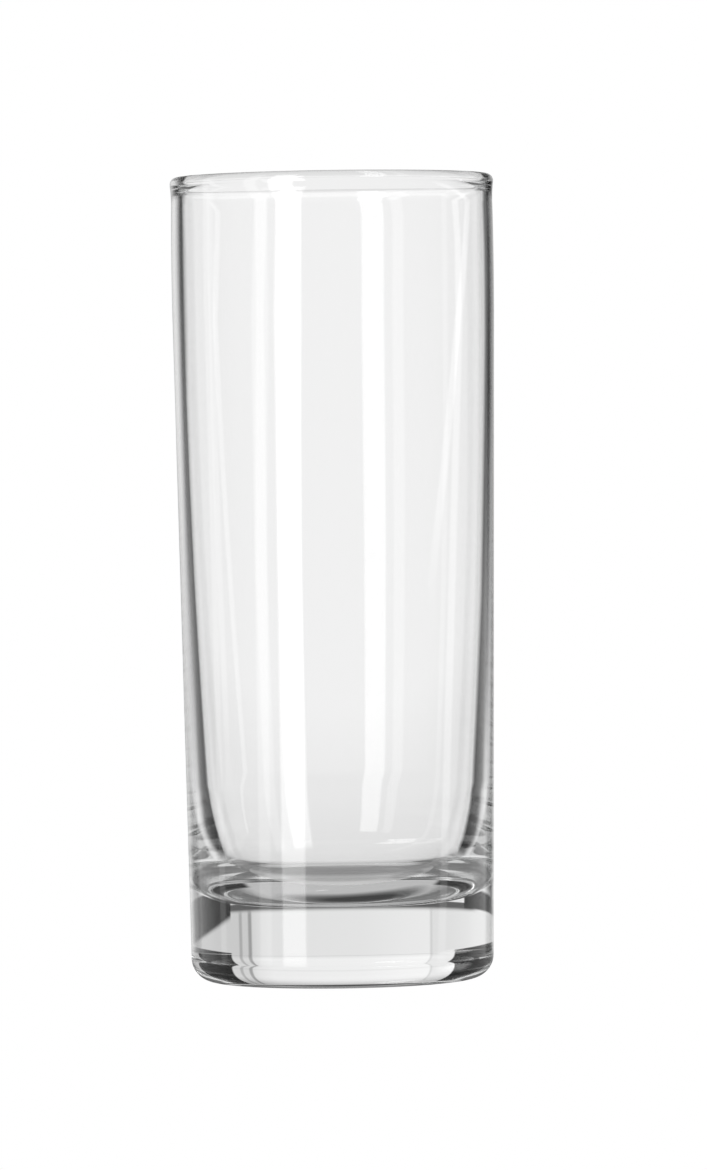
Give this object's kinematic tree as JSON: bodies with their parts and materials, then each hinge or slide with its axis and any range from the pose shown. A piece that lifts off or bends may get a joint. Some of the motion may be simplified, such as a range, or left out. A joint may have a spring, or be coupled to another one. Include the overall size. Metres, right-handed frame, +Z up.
{
  "type": "highball glass",
  "caption": "Tall clear highball glass with slightly tapered walls, a rolled rim and a thick solid base, for holding a long drink.",
  "frame": {"origin": "centre of the flat ring under the base, on the plane that the glass stands on", "axes": "+Z up along the axis of the glass, from the base to the mouth; the glass is a turned shape, so +X and +Y are any two level directions"},
  "size_m": [0.0603, 0.0602, 0.15],
  "materials": {
    "clear_glass": "fire-polished, clear and colourless"
  },
  "bodies": {
    "root": {"tumbler": "clear_glass"}
  },
  "joints": []
}
